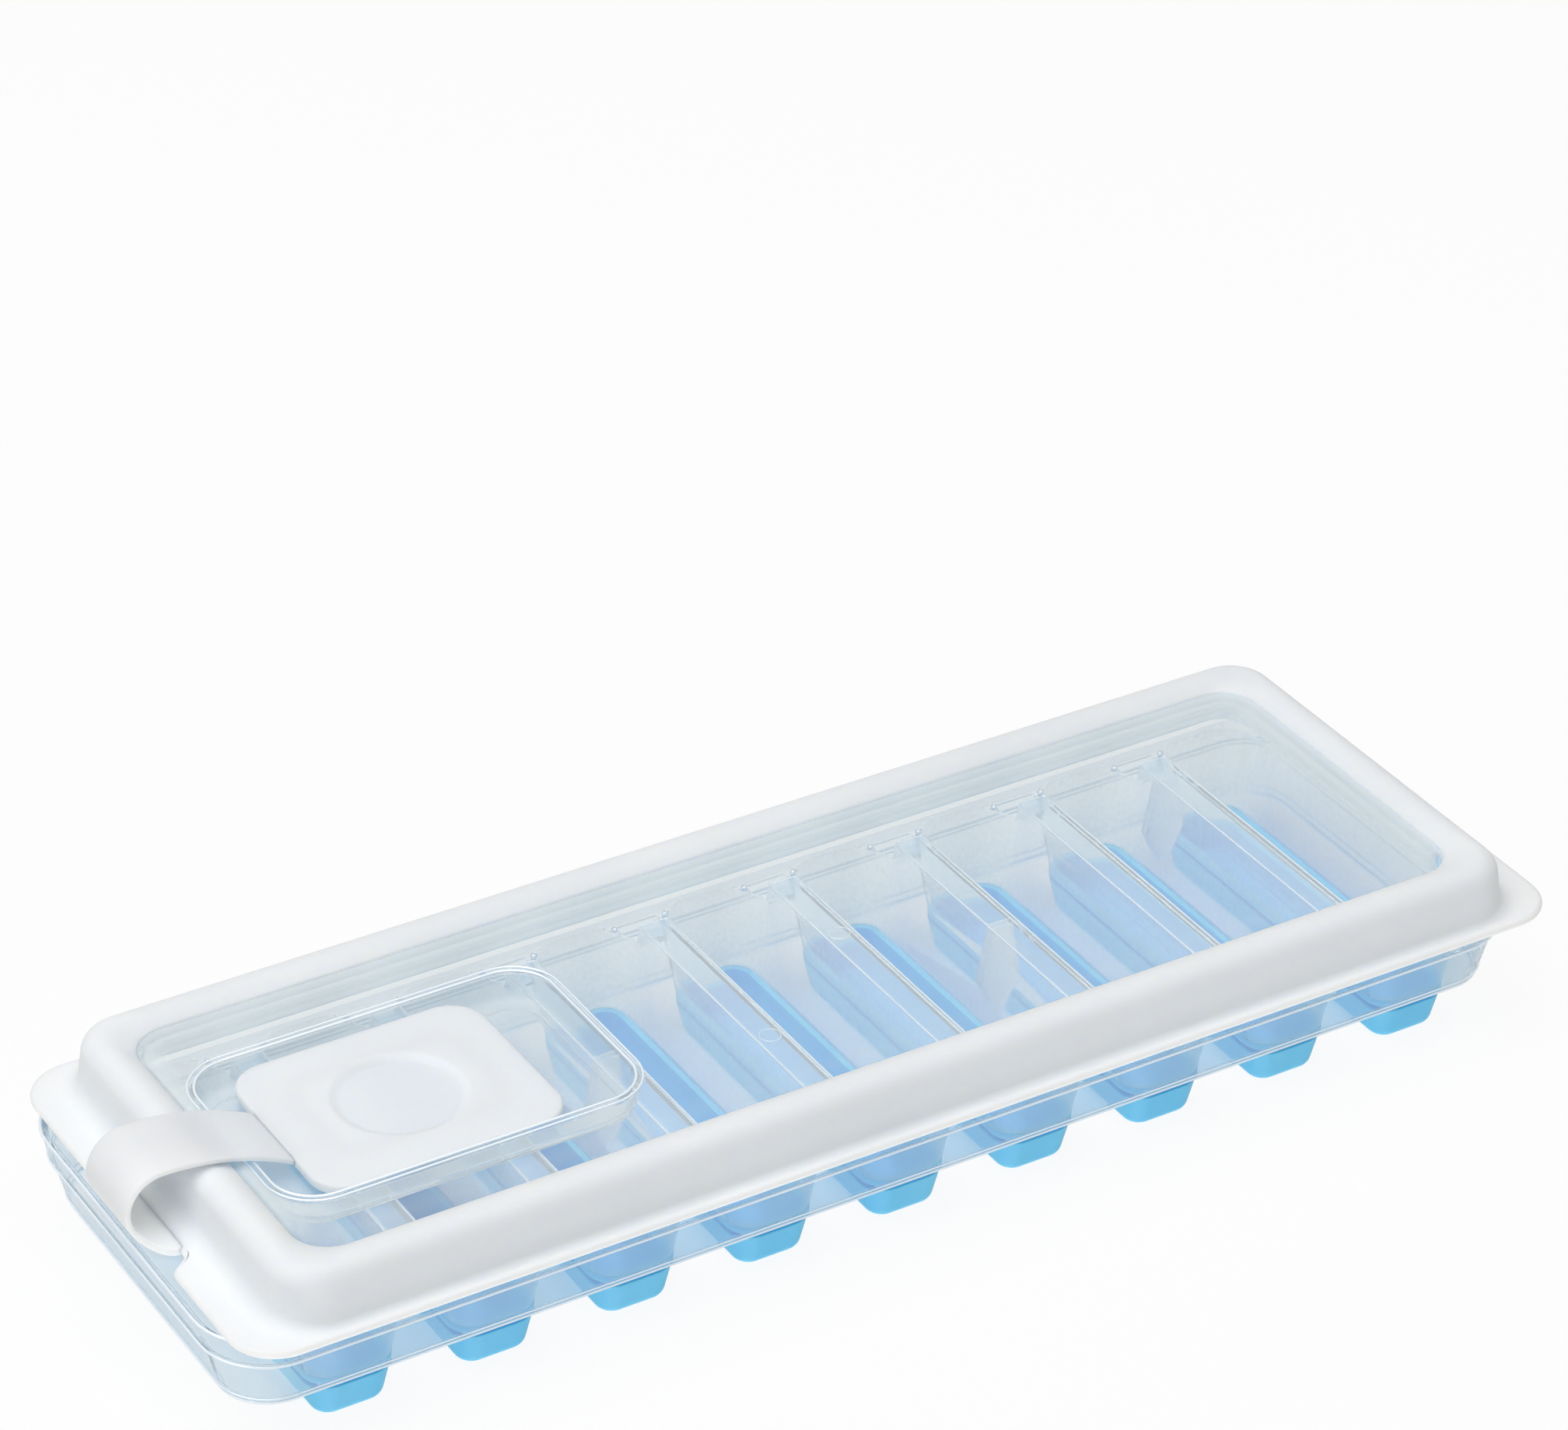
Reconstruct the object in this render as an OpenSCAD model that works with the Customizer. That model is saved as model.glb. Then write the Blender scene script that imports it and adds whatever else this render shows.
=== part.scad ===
// Ice stick mold: clear freezer tray with nine soft troughs, framed lid, fill plug on a strap.
// Origin at the middle of the rest plane under the troughs. X along the row, Y across, Z up. Millimetres.

/* [Sticks] */
// Distance from one stick to the next along the row
stick_pitch = 29.7; // [28.5:0.1:34]
// Length of a cavity at the top of the ridges
cavity_l = 83.9; // [74:0.1:100]
// Height of the clear cavity walls above the soft troughs
cavity_h = 19.5; // [18:0.1:22.5]
// Draft of the cavity walls in degrees
cavity_draft = 10.9; // [8:0.1:12]
// Upright corner radius of a cavity at its top
cavity_corner = 8.2; // [7.8:0.1:9]
// Wall thickness of the hanging cavities and the ridges
tub_wall = 0.9; // [0.7:0.05:1.1]

/* [Ridges] */
// Width of a ridge along its top
ridge_top_w = 6.2; // [5:0.1:7.5]
// Height of the ridge tops above the deck
ridge_rise = 2.5; // [1.5:0.1:3]
// Length of the full height part of a ridge
ridge_l = 68.4; // [50:0.1:70]
// Depth of the overflow notch under the deck at each ridge end
notch_drop = 1; // [0.6:0.1:2]
// Thickness of the stiffening ribs inside the hollow ridges
rib_t = 1.6; // [1.2:0.1:2.4]
// Height of the stiffening ribs
rib_h = 20.2; // [18:0.1:21]
// Width of a stiffening rib along its lower edge
rib_foot_w = 2.1; // [1.5:0.1:4]
// Distance of the paired ribs from the middle plane
rib_y = 29; // [20:0.5:31]

/* [Deck and skirt] */
// Thickness of the deck round the cavities
deck_t = 1.2; // [1:0.05:1.6]
// Height of the raised rim that stands inside the lid frame
rim_h = 4.5; // [3:0.1:6]
// Thickness of the raised rim
rim_t = 1.2; // [1:0.05:1.4]
// Distance from the end cavities to the skirt top at the ends
skirt_gap_x = 13.85; // [12:0.05:14]
// Distance from the cavities to the skirt top along the sides
skirt_gap_y = 3.55; // [3.4:0.05:4.6]
// Offset of the skirt toward the strap end
skirt_shift = 2.6; // [0:0.1:2.8]
// Plan corner radius of the skirt at the deck
skirt_corner = 14.5; // [13:0.1:16]
// Height of the skirt below the deck
skirt_h = 17.5; // [15:0.1:18.4]
// Wall thickness of the skirt
skirt_wall = 1.2; // [0.9:0.05:1.3]
// Draft of the skirt wall above its shoulder in degrees
skirt_draft = 10.3; // [8:0.1:11]
// Draft of the skirt wall below its shoulder in degrees
skirt_low_draft = 14; // [10:0.1:14.5]
// Height of the shoulder line below the deck
shoulder_drop = 6.3; // [4:0.1:8]
// Step of the wall at the shoulder line
shoulder_step = 0.6; // [0.3:0.05:0.7]
// Rounding of the skirt lower edge
skirt_edge = 1.6; // [1.4:0.05:1.7]

/* [Soft troughs] */
// Height of a trough
trough_h = 10.5; // [9.5:0.1:12.5]
// Thickness of the trough rim that closes the cavity walls
trough_rim_t = 1.4; // [1:0.1:2]
// Height of the recessed neck under the rim
trough_neck_h = 1.3; // [0.8:0.1:2]
// Depth of the recess at the neck
trough_neck_in = 0.9; // [0.6:0.05:1.1]
// Step of the trough body out from the cavity opening
trough_out = 0.8; // [0.5:0.05:0.85]
// Wall thickness of a trough
trough_wall = 1.5; // [1.2:0.1:1.8]
// Width of the rim ledge seen inside the cavity
trough_ledge = 1; // [0.6:0.05:1.2]
// Draft of the trough body in degrees
trough_draft = 14; // [10:0.5:16]
// Rounding of the trough lower edge
trough_edge = 2.4; // [1.5:0.1:2.6]

/* [Lid frame] */
// Height of the window plane above the deck
lid_rise = 11; // [10.5:0.1:14]
// Distance of the window edge inside the end cavities
window_in_x = 3.35; // [2:0.05:5]
// Distance of the window edge inside the cavity ends
window_in_y = 3.1; // [2.6:0.05:5]
// Corner radius of the window
window_corner = 8; // [7.5:0.1:10]
// Height of the frame crest above the window plane
crest_h = 2.2; // [1.6:0.05:2.3]
// Width of the rising inner edge of the frame
crest_in = 3; // [2.8:0.1:3.4]
// Shoulder radius of the frame
frame_shoulder = 4; // [3:0.1:4.2]
// Distance from the window edge to the shoulder centre
frame_flat = 4.3; // [4.2:0.1:4.8]
// Plan corner radius of the frame at the shoulder centre
frame_corner = 5.5; // [4.5:0.1:8]
// Lean of the frame outer wall in degrees
frame_draft = 8; // [4:0.5:9]
// Fillet at the foot of the frame
frame_foot = 1.5; // [1:0.1:1.8]
// Wall thickness of the frame
frame_wall = 1.6; // [1.2:0.05:1.8]
// Length of the flange beyond the end cavities
flange_over_x = 14.45; // [14.4:0.05:16]
// Width of the flange beyond the cavity ends
flange_over_y = 8.55; // [8.5:0.05:10]
// Thickness of the flange
flange_t = 1.7; // [1.4:0.05:2]
// Corner radius of the flange
flange_corner = 10; // [9.5:0.1:13]
// Radius of the two notches beside the strap
notch_r = 4.3; // [3:0.1:4.8]
// Distance of each notch centre from the middle plane
notch_y = 14.3; // [13.4:0.1:15]

/* [Lid window] */
// Thickness of the window plate and the pocket
plate_t = 1.2; // [1:0.05:1.4]
// Depth of the plate edge held in the frame
plate_hold = 2.2; // [1.5:0.1:2.4]
// Depth of the rim skirt under the window plate
window_skirt = 4.5; // [3:0.1:5.5]
// Length of the fill pocket
pocket_l = 75; // [68:0.5:90]
// Width of the fill pocket
pocket_w = 47.6; // [46.6:0.2:52]
// Corner radius of the fill pocket
pocket_corner = 9; // [8:0.1:10]
// Depth of the fill pocket
pocket_d = 6.3; // [6:0.1:6.5]
// Distance from the window edge to the fill pocket
pocket_margin = 4.2; // [3.6:0.1:8]
// Draft of the pocket walls in degrees
pocket_draft = 10; // [6:0.5:12]
// Fillet along the pocket floor
pocket_fillet = 1.8; // [1:0.1:2.2]
// Length of the fill hole
hole_l = 38; // [30:0.5:42]
// Width of the fill hole
hole_w = 28; // [22:0.5:32]
// Corner radius of the fill hole
hole_corner = 6; // [5:0.1:7]
// Wall of the collar round the fill hole
collar_wall = 1.4; // [1:0.1:2]

/* [Plug and strap] */
// Length of the plug plate
plug_l = 52; // [48:0.5:56]
// Width of the plug plate
plug_w = 43.4; // [38:0.2:44.4]
// Corner radius of the plug plate
plug_corner = 7.5; // [7:0.1:9]
// Thickness of the plug plate
plug_t = 2.2; // [2:0.05:2.6]
// Depth of the plug top under the window plane
plug_drop = 1.7; // [1.4:0.05:2]
// Distance from the pocket edge to the plug
plug_gap = 8; // [6:0.1:10]
// Rounding of the plug upper edge
plug_edge = 0.9; // [0.5:0.05:1.2]
// Radius of the round dish in the plug
dish_r = 13; // [9:0.1:15]
// Depth of the round dish
dish_d = 0.8; // [0.4:0.05:1]
// Wall of the seal ring under the plug
seal_wall = 1.5; // [1:0.1:2]
// Reach of the seal ring below the plug plate
seal_h = 3.3; // [2:0.1:3.5]
// Width of the strap
strap_w = 17; // [12:0.5:18]
// Thickness of the strap
strap_t = 1.2; // [1:0.05:1.3]
// Height of the strap top above the window plane
strap_crest = 5; // [4.8:0.05:8]
// Distance from the flange end to the strap root
strap_in = 3.8; // [2.5:0.1:4.2]

/* [Clearances] */
// Gap round the seal ring in the fill hole
seal_gap = 0.5; // [0.4:0.05:0.8]
// Gap between the plug plate and the collar
seat_gap = 0.1; // [0.05:0.05:0.3]
// Gap between the raised rim and the inside of the frame
rim_gap = 0.7; // [0.5:0.05:0.9]
// Gap between the plate edge and its groove
groove_gap = 0.1; // [0.05:0.05:0.2]
// Gap between the two halves of the strap loop at the bend
bend_gap = 0.05; // [0.05:0.05:0.2]

/* [Hidden] */
$fn = 72;
stick_count = 9;
eps = 0.01;
ridge_extra = 0.25;
clear_tint = [0.86, 0.92, 0.92, 0.35];
white_tint = [0.95, 0.95, 0.94];
blue_tint = [0.16, 0.5, 0.86];
slope = tan(cavity_draft);
ridge_z = trough_h + cavity_h;
deck_z = ridge_z - ridge_rise;
window_z = deck_z + lid_rise;
flange_z = deck_z + flange_t;
array_hx = (stick_count * stick_pitch - ridge_top_w) / 2;
cavity_hx = (stick_pitch - ridge_top_w) / 2;
cavity_hy = cavity_l / 2;
cavity_foot = cavity_corner - slope * cavity_h;
window_hx = array_hx - window_in_x;
window_hy = cavity_hy - window_in_y;
flange_hx = array_hx + flange_over_x;
flange_hy = cavity_hy + flange_over_y;
skirt_hx = array_hx + skirt_gap_x;
skirt_hy = cavity_hy + skirt_gap_y;
skirt_z = deck_z - skirt_h;
turn_z = deck_z - shoulder_drop;
notch_z = deck_z - notch_drop;
rim_u = frame_corner + frame_shoulder - frame_wall - rim_gap;
wall_core_x = window_hx + frame_flat - frame_corner;
wall_core_y = window_hy + frame_flat - frame_corner;
core_x = window_hx - window_corner;
core_y = window_hy - window_corner;
pocket_x = -window_hx + pocket_margin + pocket_l / 2;
plug_x = pocket_x - pocket_l / 2 + plug_gap + plug_l / 2;
plug_z = window_z - plug_drop;
root_x = -flange_hx + strap_in;
crest_z = window_z + strap_crest - strap_t / 2;
root_z = deck_z + flange_t / 2;
loop_r = (crest_z - root_z) / 2;
loop_z = (crest_z + root_z) / 2;
arm_dx = plug_x - plug_l / 2 - root_x;
arm_dz = crest_z - (plug_z - plug_t / 2);
arm_r = round(50 * (arm_dx * arm_dx + arm_dz * arm_dz) / arm_dz) / 100;

// Points along an arc
function arc(cx, cy, r, from, to, n) =
    [for (i = [0:n]) [cx + r * cos(from + (to - from) * i / n), cy + r * sin(from + (to - from) * i / n)]];

// Skirt outside above its shoulder at a height, counted from its corner centres
function skirt_u(z) = skirt_corner - (deck_z - z) * tan(skirt_draft);

// Skirt outside below its shoulder at a height
function skirt_low_u(z) = skirt_u(turn_z) - shoulder_step - (turn_z - shoulder_step - z) * tan(skirt_low_draft);

// Carries a wall section round a rectangle with round corners
module swept_ring(cx, cy) {
    for (turn = [0, 180]) {
        rotate([0, 0, turn]) {
            translate([cx, 0, 0]) rotate([90, 0, 0]) linear_extrude(2 * cy, center = true) children();
            translate([0, cy, 0]) rotate([90, 0, 90]) linear_extrude(2 * cx, center = true) children();
            translate([cx, cy, 0]) rotate_extrude(angle = 90) children();
            translate([-cx, cy, 0]) rotate([0, 0, 90]) rotate_extrude(angle = 90) children();
        }
    }
}

// Flat rectangle with round corners
module round_rect(hx, hy, r) {
    square([2 * hx, 2 * hy - 2 * r], center = true);
    square([2 * hx - 2 * r, 2 * hy], center = true);
    for (sx = [-1, 1], sy = [-1, 1]) {
        translate([sx * (hx - r), sy * (hy - r)]) circle(r);
    }
}

// Plate with round corners between two heights
module plate(hx, hy, r, z0, z1) {
    translate([0, 0, z0]) linear_extrude(z1 - z0) round_rect(hx, hy, r);
}

// Block with round corners whose four sides lean outward toward the top
module leaning_block(hx, hy, r, z0, z1, lean) {
    translate([r - hx, r - hy, z0]) cube([2 * (hx - r), 2 * (hy - r), z1 - z0]);
    swept_ring(hx - r, hy - r) polygon([[0, z0], [r - lean * (z1 - z0), z0], [r, z1], [0, z1]]);
}

// Middle of each ridge along the row
function ridge_x(i) = (i - stick_count / 2) * stick_pitch;

// Middle of each stick along the row
function stick_x(i) = (i - (stick_count + 1) / 2) * stick_pitch;

// Outside of the hanging cavities with the raised ridges
module tub_mass() {
    drop = slope * (ridge_rise + deck_t / 2);
    grow = tub_wall / cos(cavity_draft) - drop;
    half = ridge_top_w / 2 + 1.5;
    for (i = [1:stick_count]) {
        translate([stick_x(i), 0, 0]) {
            leaning_block(cavity_hx + grow, cavity_hy + grow, cavity_corner + grow,
                trough_h, deck_z - deck_t / 2, slope);
        }
    }
    for (i = [1:stick_count - 1]) {
        translate([ridge_x(i) - half, -ridge_l / 2, deck_z - deck_t]) {
            cube([2 * half, ridge_l, ridge_rise + deck_t]);
        }
        translate([ridge_x(i) - half, 1 - cavity_hy, notch_z - tub_wall]) {
            cube([2 * half, cavity_l - 2, tub_wall + notch_drop]);
        }
    }
}

// Hollow inside the raised part of one ridge, with slightly thicker walls than the cavities
module ridge_hollow() {
    side = (tub_wall + ridge_extra) / cos(cavity_draft);
    half_top = ridge_top_w / 2 - side + slope * tub_wall;
    low = notch_z - tub_wall - deck_t - 1;
    high = ridge_z - tub_wall;
    half_low = half_top + slope * (high - low);
    rotate([90, 0, 0]) {
        linear_extrude(ridge_l - 2 * tub_wall, center = true) {
            polygon([[-half_low, low], [half_low, low], [half_top, high], [-half_top, high]]);
        }
    }
}

// Six sided stiffening rib inside a ridge
module rib() {
    side = tub_wall / cos(cavity_draft);
    top_half = ridge_top_w / 2 - side + slope * tub_wall + 0.1;
    mid_z = ridge_z - tub_wall - rib_h * 0.62;
    mid_half = top_half + slope * rib_h * 0.62;
    rotate([90, 0, 0]) {
        linear_extrude(rib_t, center = true) {
            polygon([[-top_half, ridge_z - tub_wall / 2], [-mid_half, mid_z],
                [-rib_foot_w / 2, ridge_z - tub_wall - rib_h],
                [rib_foot_w / 2, ridge_z - tub_wall - rib_h], [mid_half, mid_z],
                [top_half, ridge_z - tub_wall / 2]]);
        }
    }
}

// Section of the skirt wall with its shoulder and rounded lower edge
module skirt_section() {
    d = skirt_low_draft;
    side = skirt_wall / cos(skirt_draft);
    low_side = skirt_wall / cos(d);
    edge_z = skirt_z + skirt_edge;
    edge_u = skirt_low_u(edge_z) - skirt_edge / cos(d);
    polygon(concat([[skirt_u(deck_z) - side, deck_z], [skirt_u(deck_z), deck_z],
        [skirt_u(turn_z), turn_z], [skirt_low_u(turn_z - shoulder_step), turn_z - shoulder_step]],
        arc(edge_u, edge_z, skirt_edge, -d, -90, 6),
        arc(edge_u, edge_z, skirt_edge - skirt_wall, -90, -d, 3),
        [[skirt_low_u(turn_z - shoulder_step) - low_side, turn_z - shoulder_step],
        [skirt_u(turn_z) - side, turn_z]]));
}

// Nine hanging cavities with eight hollow ridges between them, under the deck
module cavities() {
    difference() {
        union() {
            tub_mass();
            translate([-skirt_shift, 0, 0]) {
                plate(skirt_hx - 0.4, skirt_hy - 0.4, skirt_corner - 0.4, deck_z - deck_t, deck_z);
            }
        }
        for (i = [1:stick_count]) {
            translate([stick_x(i), 0, 0]) {
                leaning_block(cavity_hx + slope, cavity_hy + slope, cavity_corner + slope,
                    trough_h - eps, ridge_z + 1, slope);
            }
        }
        for (i = [1:stick_count - 1]) {
            translate([ridge_x(i), 0, 0]) {
                ridge_hollow();
                for (side = [0, 180]) {
                    rotate([0, 0, side]) {
                        translate([-stick_pitch / 4, ridge_l / 2, notch_z]) {
                            cube([stick_pitch / 2, cavity_hy - 1 - ridge_l / 2, ridge_rise + 4]);
                        }
                    }
                }
            }
        }
    }
}

// Clear tray: cavities, raised rim, skirt and the stiffening ribs in four of the ridges
module tray() {
    color(clear_tint) {
        cavities();
        swept_ring(wall_core_x, wall_core_y) {
            translate([rim_u - rim_t, deck_z - deck_t / 2]) square([rim_t, rim_h + deck_t / 2]);
        }
        translate([-skirt_shift, 0, 0]) {
            swept_ring(skirt_hx - skirt_corner, skirt_hy - skirt_corner) skirt_section();
        }
        for (side = [-1, 1]) {
            translate([side * 1.5 * stick_pitch, 0, 0]) rib();
            translate([side * 3.5 * stick_pitch, rib_y, 0]) rib();
            translate([side * 3.5 * stick_pitch, -rib_y, 0]) rib();
        }
    }
}

// Section of a trough wall: rim, neck, leaning body with a rounded lower edge and the floor
module trough_section(r0) {
    rim_u = r0 + tub_wall;
    body_u = r0 + trough_out;
    neck_u = body_u - trough_neck_in;
    lean = tan(trough_draft);
    body_z = trough_h - trough_rim_t - trough_neck_h;
    edge_u = max(0.2, body_u - lean * (body_z - trough_edge) - trough_edge);
    in_u = r0 - trough_ledge;
    in_low = max(0.7, in_u - 0.4 - lean * (body_z - trough_wall));
    polygon(concat([[0, 0]], arc(edge_u, trough_edge, trough_edge, -90, -trough_draft, 6),
        [[body_u, body_z], [neck_u, body_z + 0.3], [neck_u, trough_h - trough_rim_t],
        [rim_u, trough_h - trough_rim_t], [rim_u, trough_h], [in_u, trough_h],
        [in_u - 0.4, body_z], [in_low + 0.4, trough_wall + 0.9],
        [in_low - 0.5, trough_wall], [0, trough_wall]]));
}

// One soft trough that forms the lower part of a stick
module trough(i) {
    r0 = cavity_foot;
    hx = cavity_hx - slope * cavity_h;
    hy = cavity_hy - slope * cavity_h;
    color(blue_tint) {
        translate([stick_x(i), 0, 0]) {
            translate([r0 - hx, r0 - hy, 0]) cube([2 * (hx - r0), 2 * (hy - r0), trough_wall]);
            swept_ring(hx - r0, hy - r0) trough_section(r0);
        }
    }
}

// Section of the inner edge of the frame, with the groove that holds the window plate
module frame_edge_section() {
    w = window_corner;
    top = window_z + crest_h;
    back = w + plate_hold;
    wall = back + frame_wall;
    under = window_z - plate_t;
    polygon(concat([for (p = arc(0, 0, 1, 180, 90, 6)) [w + crest_in * (1 + p[0]), window_z + crest_h * p[1]]],
        [[wall, top], [wall, under - frame_wall], [w, under - frame_wall], [w, under], [back, under],
        [back, window_z]]));
}

// Section of the frame shoulder and outer wall down to the flange
module frame_wall_section() {
    r = frame_shoulder;
    d = frame_draft;
    top = window_z + crest_h;
    cz = top - r;
    cu = frame_corner;
    k = r + cos(d) * cu + sin(d) * cz;
    fz = flange_z + frame_foot;
    fu = (k + frame_foot - sin(d) * fz) / cos(d);
    in_u = (k - frame_wall - sin(d) * deck_z) / cos(d);
    polygon(concat([[cu - 1, top]], arc(cu, cz, r, 90, d, 8),
        arc(fu, fz, frame_foot, 180 + d, 270, 5),
        [[fu, deck_z], [in_u, deck_z]],
        arc(cu, cz, r - frame_wall, d, 90, 6),
        [[cu - 1, top - frame_wall]]));
}

// Flange round the foot of the frame, with the two notches beside the strap
module flange() {
    foot_x = window_hx + frame_flat + frame_shoulder;
    foot_y = window_hy + frame_flat + frame_shoulder;
    foot_r = frame_corner + frame_shoulder;
    nose = flange_t / 2;
    difference() {
        union() {
            difference() {
                plate(flange_hx - nose, flange_hy - nose, flange_corner - nose, deck_z, flange_z);
                plate(foot_x, foot_y, foot_r, deck_z - 1, flange_z + 1);
            }
            swept_ring(flange_hx - flange_corner, flange_hy - flange_corner) {
                translate([flange_corner - nose, deck_z + nose]) circle(nose);
            }
        }
        for (side = [-1, 1]) {
            translate([-flange_hx, side * notch_y, deck_z - 1]) cylinder(h = flange_t + 2, r = notch_r);
        }
        translate([-flange_hx - 1, -notch_y, deck_z - 1]) cube([strap_in + 1, 2 * notch_y, flange_t + 2]);
    }
}

// White lid frame
module lid_frame() {
    top = window_z + crest_h;
    color(white_tint) {
        swept_ring(core_x, core_y) frame_edge_section();
        swept_ring(wall_core_x, wall_core_y) frame_wall_section();
        difference() {
            plate(window_hx + frame_flat, window_hy + frame_flat, frame_corner, top - frame_wall, top);
            plate(window_hx + crest_in, window_hy + crest_in, window_corner + crest_in, top - 3, top + 1);
        }
        flange();
    }
}

// Section of the pocket wall with its rounded rim and floor fillet
module pocket_section() {
    d = pocket_draft;
    floor_z = window_z - pocket_d;
    fz = floor_z + pocket_fillet;
    k = cos(d) * pocket_corner - sin(d) * window_z;
    fu = (k - pocket_fillet + sin(d) * fz) / cos(d);
    oz = floor_z - plate_t;
    out = plate_t / cos(d);
    polygon(concat([[pocket_corner + out - 0.3, window_z - plate_t / 2], [pocket_corner, window_z]],
        arc(fu, fz, pocket_fillet, -d, -90, 5),
        [[fu, oz]],
        arc(fu, fz, pocket_fillet + plate_t, -90, -d, 5)));
}

// Clear window plate with its rim skirt, fill pocket and collar
module lid_window() {
    d = pocket_draft;
    floor_z = window_z - pocket_d;
    hold = plate_hold - groove_gap;
    floor_in = pocket_d * tan(d);
    color(clear_tint) {
        difference() {
            plate(window_hx + hold, window_hy + hold, window_corner + hold, window_z - plate_t, window_z);
            translate([pocket_x, 0, 0]) {
                plate(pocket_l / 2, pocket_w / 2, pocket_corner, window_z - plate_t - 1, window_z + 1);
            }
        }
        swept_ring(core_x, core_y) {
            translate([window_corner - plate_t - groove_gap, window_z - plate_t - window_skirt]) {
                square([plate_t, window_skirt + plate_t / 2]);
            }
        }
        translate([pocket_x, 0, 0]) {
            swept_ring(pocket_l / 2 - pocket_corner, pocket_w / 2 - pocket_corner) pocket_section();
        }
        difference() {
            union() {
                translate([pocket_x, 0, 0]) {
                    plate(pocket_l / 2 - floor_in - pocket_fillet * 0.8, pocket_w / 2 - floor_in
                        - pocket_fillet * 0.8, pocket_corner - floor_in - pocket_fillet * 0.8,
                        floor_z - plate_t, floor_z);
                }
                translate([plug_x, 0, 0]) {
                    plate(hole_l / 2 + collar_wall, hole_w / 2 + collar_wall, hole_corner + collar_wall,
                        floor_z - plate_t / 2, plug_z - plug_t - seat_gap);
                }
            }
            translate([plug_x, 0, 0]) {
                plate(hole_l / 2, hole_w / 2, hole_corner, floor_z - plate_t - 1, window_z);
            }
        }
    }
}

// Side outline of one band of the strap, a ring of middle radius r cut to a box from lo to hi
module band(cx, cz, r, lo, hi) {
    intersection() {
        difference() {
            translate([cx, cz]) circle(r + strap_t / 2);
            translate([cx, cz]) circle(r - strap_t / 2);
        }
        translate(lo) square(hi - lo);
    }
}

// Lower half of the strap loop, held by the flange
module strap_root() {
    color(white_tint) {
        rotate([90, 0, 0]) {
            linear_extrude(strap_w, center = true) {
                band(root_x, loop_z, loop_r, [root_x - 2 * loop_r, loop_z - 2 * loop_r], [root_x, loop_z]);
            }
        }
    }
}

// Upper half of the strap loop and the long curve down to the plug
module strap_arm() {
    color(white_tint) {
        rotate([90, 0, 0]) {
            linear_extrude(strap_w, center = true) {
                band(root_x, loop_z, loop_r, [root_x - 2 * loop_r, loop_z + bend_gap],
                    [root_x, loop_z + 2 * loop_r]);
                band(root_x, crest_z - arm_r, arm_r, [root_x, crest_z - arm_dz - 6],
                    [root_x + arm_dx, crest_z + 2]);
            }
        }
    }
}

// Section of the plug plate edge
module plug_section() {
    polygon(concat([[0, plug_z - plug_t], [plug_corner - 0.4, plug_z - plug_t],
        [plug_corner, plug_z - plug_t + 0.4]],
        arc(plug_corner - plug_edge, plug_z - plug_edge, plug_edge, 0, 90, 5),
        [[0, plug_z]]));
}

// White plug with a shallow round dish and a seal ring
module fill_plug() {
    hx = plug_l / 2;
    hy = plug_w / 2;
    sx = hole_l / 2 - seal_gap;
    sy = hole_w / 2 - seal_gap;
    sr = hole_corner - seal_gap;
    low = plug_z - plug_t;
    color(white_tint) {
        translate([plug_x, 0, 0]) {
            difference() {
                union() {
                    translate([plug_corner - hx, plug_corner - hy, low]) {
                        cube([2 * (hx - plug_corner), 2 * (hy - plug_corner), plug_t]);
                    }
                    swept_ring(hx - plug_corner, hy - plug_corner) plug_section();
                }
                rotate_extrude() {
                    polygon(concat([[0, plug_z - dish_d]],
                        [for (i = [0:8]) [dish_r - 2.4 + 2.4 * i / 8,
                            plug_z - dish_d * (1 + cos(180 * i / 8)) / 2]],
                        [[dish_r + 0.2, plug_z + 1], [0, plug_z + 1]]));
                }
            }
            difference() {
                plate(sx, sy, sr, low - seal_h, low + eps);
                plate(sx - seal_wall, sy - seal_wall, sr - seal_wall, low - seal_h - 1, low);
            }
        }
    }
}

tray();
for (i = [1:stick_count]) trough(i);
lid_frame();
lid_window();
strap_root();
strap_arm();
fill_plug();
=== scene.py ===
import math

import bmesh
import bpy
import numpy as np
from mathutils import Matrix, Vector


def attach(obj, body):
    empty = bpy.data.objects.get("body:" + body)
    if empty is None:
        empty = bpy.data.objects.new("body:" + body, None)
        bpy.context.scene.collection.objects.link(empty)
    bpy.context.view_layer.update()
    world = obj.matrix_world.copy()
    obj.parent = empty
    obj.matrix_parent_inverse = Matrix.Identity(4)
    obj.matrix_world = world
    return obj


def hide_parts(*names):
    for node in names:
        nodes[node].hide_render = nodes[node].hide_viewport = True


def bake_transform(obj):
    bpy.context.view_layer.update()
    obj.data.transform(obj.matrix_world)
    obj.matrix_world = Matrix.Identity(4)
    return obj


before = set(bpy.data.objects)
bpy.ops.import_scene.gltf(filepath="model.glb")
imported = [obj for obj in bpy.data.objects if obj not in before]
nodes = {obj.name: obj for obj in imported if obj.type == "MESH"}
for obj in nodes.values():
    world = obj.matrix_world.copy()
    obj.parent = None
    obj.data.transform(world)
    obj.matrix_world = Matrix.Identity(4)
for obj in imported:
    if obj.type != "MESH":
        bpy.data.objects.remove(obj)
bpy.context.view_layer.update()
scene = bpy.context.scene
scene.view_settings.view_transform = "Standard"
scene.cycles.max_bounces = 32
scene.cycles.transmission_bounces = 24
scene.cycles.transparent_max_bounces = 48

MM = 0.001

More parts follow.
